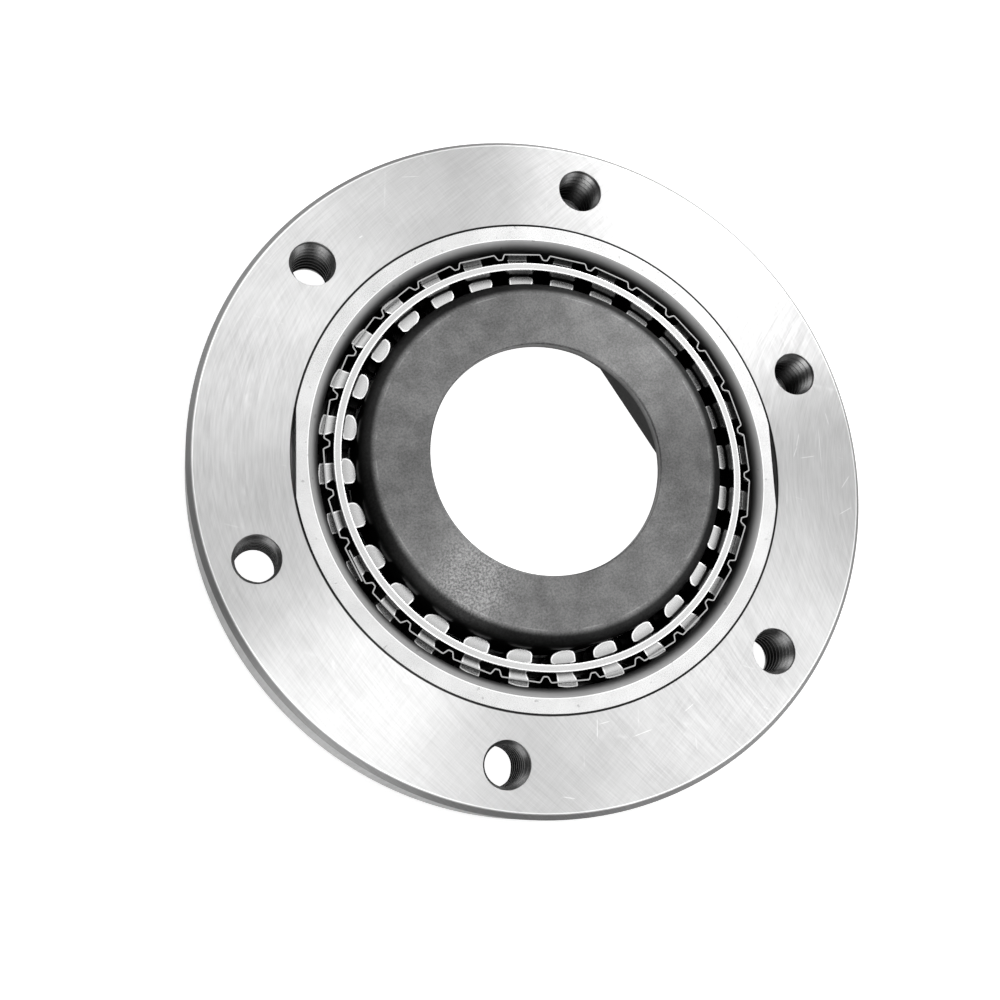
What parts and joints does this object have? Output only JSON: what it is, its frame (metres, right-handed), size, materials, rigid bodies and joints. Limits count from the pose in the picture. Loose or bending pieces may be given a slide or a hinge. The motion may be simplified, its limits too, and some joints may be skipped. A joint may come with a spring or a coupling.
{
  "type": "one-way bearing",
  "caption": "Sprag-type one-way clutch bearing in a bolt-on round flange, with a dark inner race that turns freely one way and locks the other.",
  "frame": {"origin": "on the bearing's axis, in the plane of the flange's rear face", "axes": "+Z along the bearing's axis, out of the front face that shows the sprags; +X through one bolt hole"},
  "size_m": [0.1204, 0.1204, 0.0135],
  "materials": {
    "flange_steel": "surface-ground steel with fine turning lines",
    "race_steel": "finely ground bearing steel",
    "cage_steel": "bright pressed steel",
    "spring_strip": "rolled spring strip",
    "sprag_steel": "tumbled bearing steel",
    "hub_phosphate": "dark phosphated steel, mottled",
    "ring_steel": "phosphated spring steel"
  },
  "bodies": {
    "housing": {"mounting_flange": "flange_steel", "outer_race": "race_steel", "rear_snap_ring": "ring_steel"},
    "cage_unit": {"sprag_cage": "cage_steel", "ribbon_spring": "spring_strip"},
    "inner_race": {"inner_race": "hub_phosphate"},
    "sprag_01": {"sprag_01": "sprag_steel"},
    "sprag_02": {"sprag_02": "sprag_steel"},
    "sprag_03": {"sprag_03": "sprag_steel"},
    "sprag_04": {"sprag_04": "sprag_steel"},
    "sprag_05": {"sprag_05": "sprag_steel"},
    "sprag_06": {"sprag_06": "sprag_steel"},
    "sprag_07": {"sprag_07": "sprag_steel"},
    "sprag_08": {"sprag_08": "sprag_steel"},
    "sprag_09": {"sprag_09": "sprag_steel"},
    "sprag_10": {"sprag_10": "sprag_steel"},
    "sprag_11": {"sprag_11": "sprag_steel"},
    "sprag_12": {"sprag_12": "sprag_steel"},
    "sprag_13": {"sprag_13": "sprag_steel"},
    "sprag_14": {"sprag_14": "sprag_steel"},
    "sprag_15": {"sprag_15": "sprag_steel"},
    "sprag_16": {"sprag_16": "sprag_steel"},
    "sprag_17": {"sprag_17": "sprag_steel"},
    "sprag_18": {"sprag_18": "sprag_steel"},
    "sprag_19": {"sprag_19": "sprag_steel"},
    "sprag_20": {"sprag_20": "sprag_steel"},
    "sprag_21": {"sprag_21": "sprag_steel"},
    "sprag_22": {"sprag_22": "sprag_steel"},
    "sprag_23": {"sprag_23": "sprag_steel"},
    "sprag_24": {"sprag_24": "sprag_steel"},
    "sprag_25": {"sprag_25": "sprag_steel"},
    "sprag_26": {"sprag_26": "sprag_steel"},
    "sprag_27": {"sprag_27": "sprag_steel"},
    "sprag_28": {"sprag_28": "sprag_steel"}
  },
  "joints": [
    {"name": "inner_race_spin", "type": "hinge", "parent": "housing", "child": "inner_race", "pos_m": [0, 0, 0.006], "axis": [0, 0, -1], "range_deg": [0, 360]},
    {"name": "cage_creep", "type": "hinge", "parent": "housing", "child": "cage_unit", "pos_m": [0, 0, 0.006], "axis": [0, 0, -1], "range_deg": [0, 360]},
    {"name": "sprag_01_tilt", "type": "hinge", "parent": "cage_unit", "child": "sprag_01", "pos_m": [0.03518, 0.00641, 0.0063], "axis": [0, 0, 1], "range_deg": [0, 4], "stiffness_Nm_per_rad": 0.002, "springref_deg": -2.86},
    {"name": "sprag_02_tilt", "type": "hinge", "parent": "cage_unit", "child": "sprag_02", "pos_m": [0.03287, 0.01407, 0.0063], "axis": [0, 0, 1], "range_deg": [0, 4], "stiffness_Nm_per_rad": 0.002, "springref_deg": -2.86},
    {"name": "sprag_03_tilt", "type": "hinge", "parent": "cage_unit", "child": "sprag_03", "pos_m": [0.02891, 0.02103, 0.0063], "axis": [0, 0, 1], "range_deg": [0, 4], "stiffness_Nm_per_rad": 0.002, "springref_deg": -2.86},
    {"name": "sprag_04_tilt", "type": "hinge", "parent": "cage_unit", "child": "sprag_04", "pos_m": [0.02351, 0.02694, 0.0063], "axis": [0, 0, 1], "range_deg": [0, 4], "stiffness_Nm_per_rad": 0.002, "springref_deg": -2.86},
    {"name": "sprag_05_tilt", "type": "hinge", "parent": "cage_unit", "child": "sprag_05", "pos_m": [0.01692, 0.0315, 0.0063], "axis": [0, 0, 1], "range_deg": [0, 4], "stiffness_Nm_per_rad": 0.002, "springref_deg": -2.86},
    {"name": "sprag_06_tilt", "type": "hinge", "parent": "cage_unit", "child": "sprag_06", "pos_m": [0.00949, 0.03447, 0.0063], "axis": [0, 0, 1], "range_deg": [0, 4], "stiffness_Nm_per_rad": 0.002, "springref_deg": -2.86},
    {"name": "sprag_07_tilt", "type": "hinge", "parent": "cage_unit", "child": "sprag_07", "pos_m": [0.00158, 0.03572, 0.0063], "axis": [0, 0, 1], "range_deg": [0, 4], "stiffness_Nm_per_rad": 0.002, "springref_deg": -2.86},
    {"name": "sprag_08_tilt", "type": "hinge", "parent": "cage_unit", "child": "sprag_08", "pos_m": [-0.00641, 0.03518, 0.0063], "axis": [0, 0, 1], "range_deg": [0, 4], "stiffness_Nm_per_rad": 0.002, "springref_deg": -2.86},
    {"name": "sprag_09_tilt", "type": "hinge", "parent": "cage_unit", "child": "sprag_09", "pos_m": [-0.01407, 0.03287, 0.0063], "axis": [0, 0, 1], "range_deg": [0, 4], "stiffness_Nm_per_rad": 0.002, "springref_deg": -2.86},
    {"name": "sprag_10_tilt", "type": "hinge", "parent": "cage_unit", "child": "sprag_10", "pos_m": [-0.02103, 0.02891, 0.0063], "axis": [0, 0, 1], "range_deg": [0, 4], "stiffness_Nm_per_rad": 0.002, "springref_deg": -2.86},
    {"name": "sprag_11_tilt", "type": "hinge", "parent": "cage_unit", "child": "sprag_11", "pos_m": [-0.02694, 0.02351, 0.0063], "axis": [0, 0, 1], "range_deg": [0, 4], "stiffness_Nm_per_rad": 0.002, "springref_deg": -2.86},
    {"name": "sprag_12_tilt", "type": "hinge", "parent": "cage_unit", "child": "sprag_12", "pos_m": [-0.0315, 0.01692, 0.0063], "axis": [0, 0, 1], "range_deg": [0, 4], "stiffness_Nm_per_rad": 0.002, "springref_deg": -2.86},
    {"name": "sprag_13_tilt", "type": "hinge", "parent": "cage_unit", "child": "sprag_13", "pos_m": [-0.03447, 0.00949, 0.0063], "axis": [0, 0, 1], "range_deg": [0, 4], "stiffness_Nm_per_rad": 0.002, "springref_deg": -2.86},
    {"name": "sprag_14_tilt", "type": "hinge", "parent": "cage_unit", "child": "sprag_14", "pos_m": [-0.03572, 0.00158, 0.0063], "axis": [0, 0, 1], "range_deg": [0, 4], "stiffness_Nm_per_rad": 0.002, "springref_deg": -2.86},
    {"name": "sprag_15_tilt", "type": "hinge", "parent": "cage_unit", "child": "sprag_15", "pos_m": [-0.03518, -0.00641, 0.0063], "axis": [0, 0, 1], "range_deg": [0, 4], "stiffness_Nm_per_rad": 0.002, "springref_deg": -2.86},
    {"name": "sprag_16_tilt", "type": "hinge", "parent": "cage_unit", "child": "sprag_16", "pos_m": [-0.03287, -0.01407, 0.0063], "axis": [0, 0, 1], "range_deg": [0, 4], "stiffness_Nm_per_rad": 0.002, "springref_deg": -2.86},
    {"name": "sprag_17_tilt", "type": "hinge", "parent": "cage_unit", "child": "sprag_17", "pos_m": [-0.02891, -0.02103, 0.0063], "axis": [0, 0, 1], "range_deg": [0, 4], "stiffness_Nm_per_rad": 0.002, "springref_deg": -2.86},
    {"name": "sprag_18_tilt", "type": "hinge", "parent": "cage_unit", "child": "sprag_18", "pos_m": [-0.02351, -0.02694, 0.0063], "axis": [0, 0, 1], "range_deg": [0, 4], "stiffness_Nm_per_rad": 0.002, "springref_deg": -2.86},
    {"name": "sprag_19_tilt", "type": "hinge", "parent": "cage_unit", "child": "sprag_19", "pos_m": [-0.01692, -0.0315, 0.0063], "axis": [0, 0, 1], "range_deg": [0, 4], "stiffness_Nm_per_rad": 0.002, "springref_deg": -2.86},
    {"name": "sprag_20_tilt", "type": "hinge", "parent": "cage_unit", "child": "sprag_20", "pos_m": [-0.00949, -0.03447, 0.0063], "axis": [0, 0, 1], "range_deg": [0, 4], "stiffness_Nm_per_rad": 0.002, "springref_deg": -2.86},
    {"name": "sprag_21_tilt", "type": "hinge", "parent": "cage_unit", "child": "sprag_21", "pos_m": [-0.00158, -0.03572, 0.0063], "axis": [0, 0, 1], "range_deg": [0, 4], "stiffness_Nm_per_rad": 0.002, "springref_deg": -2.86},
    {"name": "sprag_22_tilt", "type": "hinge", "parent": "cage_unit", "child": "sprag_22", "pos_m": [0.00641, -0.03518, 0.0063], "axis": [0, 0, 1], "range_deg": [0, 4], "stiffness_Nm_per_rad": 0.002, "springref_deg": -2.86},
    {"name": "sprag_23_tilt", "type": "hinge", "parent": "cage_unit", "child": "sprag_23", "pos_m": [0.01407, -0.03287, 0.0063], "axis": [0, 0, 1], "range_deg": [0, 4], "stiffness_Nm_per_rad": 0.002, "springref_deg": -2.86},
    {"name": "sprag_24_tilt", "type": "hinge", "parent": "cage_unit", "child": "sprag_24", "pos_m": [0.02103, -0.02891, 0.0063], "axis": [0, 0, 1], "range_deg": [0, 4], "stiffness_Nm_per_rad": 0.002, "springref_deg": -2.86},
    {"name": "sprag_25_tilt", "type": "hinge", "parent": "cage_unit", "child": "sprag_25", "pos_m": [0.02694, -0.02351, 0.0063], "axis": [0, 0, 1], "range_deg": [0, 4], "stiffness_Nm_per_rad": 0.002, "springref_deg": -2.86},
    {"name": "sprag_26_tilt", "type": "hinge", "parent": "cage_unit", "child": "sprag_26", "pos_m": [0.0315, -0.01692, 0.0063], "axis": [0, 0, 1], "range_deg": [0, 4], "stiffness_Nm_per_rad": 0.002, "springref_deg": -2.86},
    {"name": "sprag_27_tilt", "type": "hinge", "parent": "cage_unit", "child": "sprag_27", "pos_m": [0.03447, -0.00949, 0.0063], "axis": [0, 0, 1], "range_deg": [0, 4], "stiffness_Nm_per_rad": 0.002, "springref_deg": -2.86},
    {"name": "sprag_28_tilt", "type": "hinge", "parent": "cage_unit", "child": "sprag_28", "pos_m": [0.03572, -0.00158, 0.0063], "axis": [0, 0, 1], "range_deg": [0, 4], "stiffness_Nm_per_rad": 0.002, "springref_deg": -2.86}
  ],
  "couplings": [
    {"joint": "sprag_02_tilt", "follows": "sprag_01_tilt", "ratio": 1},
    {"joint": "sprag_03_tilt", "follows": "sprag_01_tilt", "ratio": 1},
    {"joint": "sprag_04_tilt", "follows": "sprag_01_tilt", "ratio": 1},
    {"joint": "sprag_05_tilt", "follows": "sprag_01_tilt", "ratio": 1},
    {"joint": "sprag_06_tilt", "follows": "sprag_01_tilt", "ratio": 1},
    {"joint": "sprag_07_tilt", "follows": "sprag_01_tilt", "ratio": 1},
    {"joint": "sprag_08_tilt", "follows": "sprag_01_tilt", "ratio": 1},
    {"joint": "sprag_09_tilt", "follows": "sprag_01_tilt", "ratio": 1},
    {"joint": "sprag_10_tilt", "follows": "sprag_01_tilt", "ratio": 1},
    {"joint": "sprag_11_tilt", "follows": "sprag_01_tilt", "ratio": 1},
    {"joint": "sprag_12_tilt", "follows": "sprag_01_tilt", "ratio": 1},
    {"joint": "sprag_13_tilt", "follows": "sprag_01_tilt", "ratio": 1},
    {"joint": "sprag_14_tilt", "follows": "sprag_01_tilt", "ratio": 1},
    {"joint": "sprag_15_tilt", "follows": "sprag_01_tilt", "ratio": 1},
    {"joint": "sprag_16_tilt", "follows": "sprag_01_tilt", "ratio": 1},
    {"joint": "sprag_17_tilt", "follows": "sprag_01_tilt", "ratio": 1},
    {"joint": "sprag_18_tilt", "follows": "sprag_01_tilt", "ratio": 1},
    {"joint": "sprag_19_tilt", "follows": "sprag_01_tilt", "ratio": 1},
    {"joint": "sprag_20_tilt", "follows": "sprag_01_tilt", "ratio": 1},
    {"joint": "sprag_21_tilt", "follows": "sprag_01_tilt", "ratio": 1},
    {"joint": "sprag_22_tilt", "follows": "sprag_01_tilt", "ratio": 1},
    {"joint": "sprag_23_tilt", "follows": "sprag_01_tilt", "ratio": 1},
    {"joint": "sprag_24_tilt", "follows": "sprag_01_tilt", "ratio": 1},
    {"joint": "sprag_25_tilt", "follows": "sprag_01_tilt", "ratio": 1},
    {"joint": "sprag_26_tilt", "follows": "sprag_01_tilt", "ratio": 1},
    {"joint": "sprag_27_tilt", "follows": "sprag_01_tilt", "ratio": 1},
    {"joint": "sprag_28_tilt", "follows": "sprag_01_tilt", "ratio": 1}
  ]
}
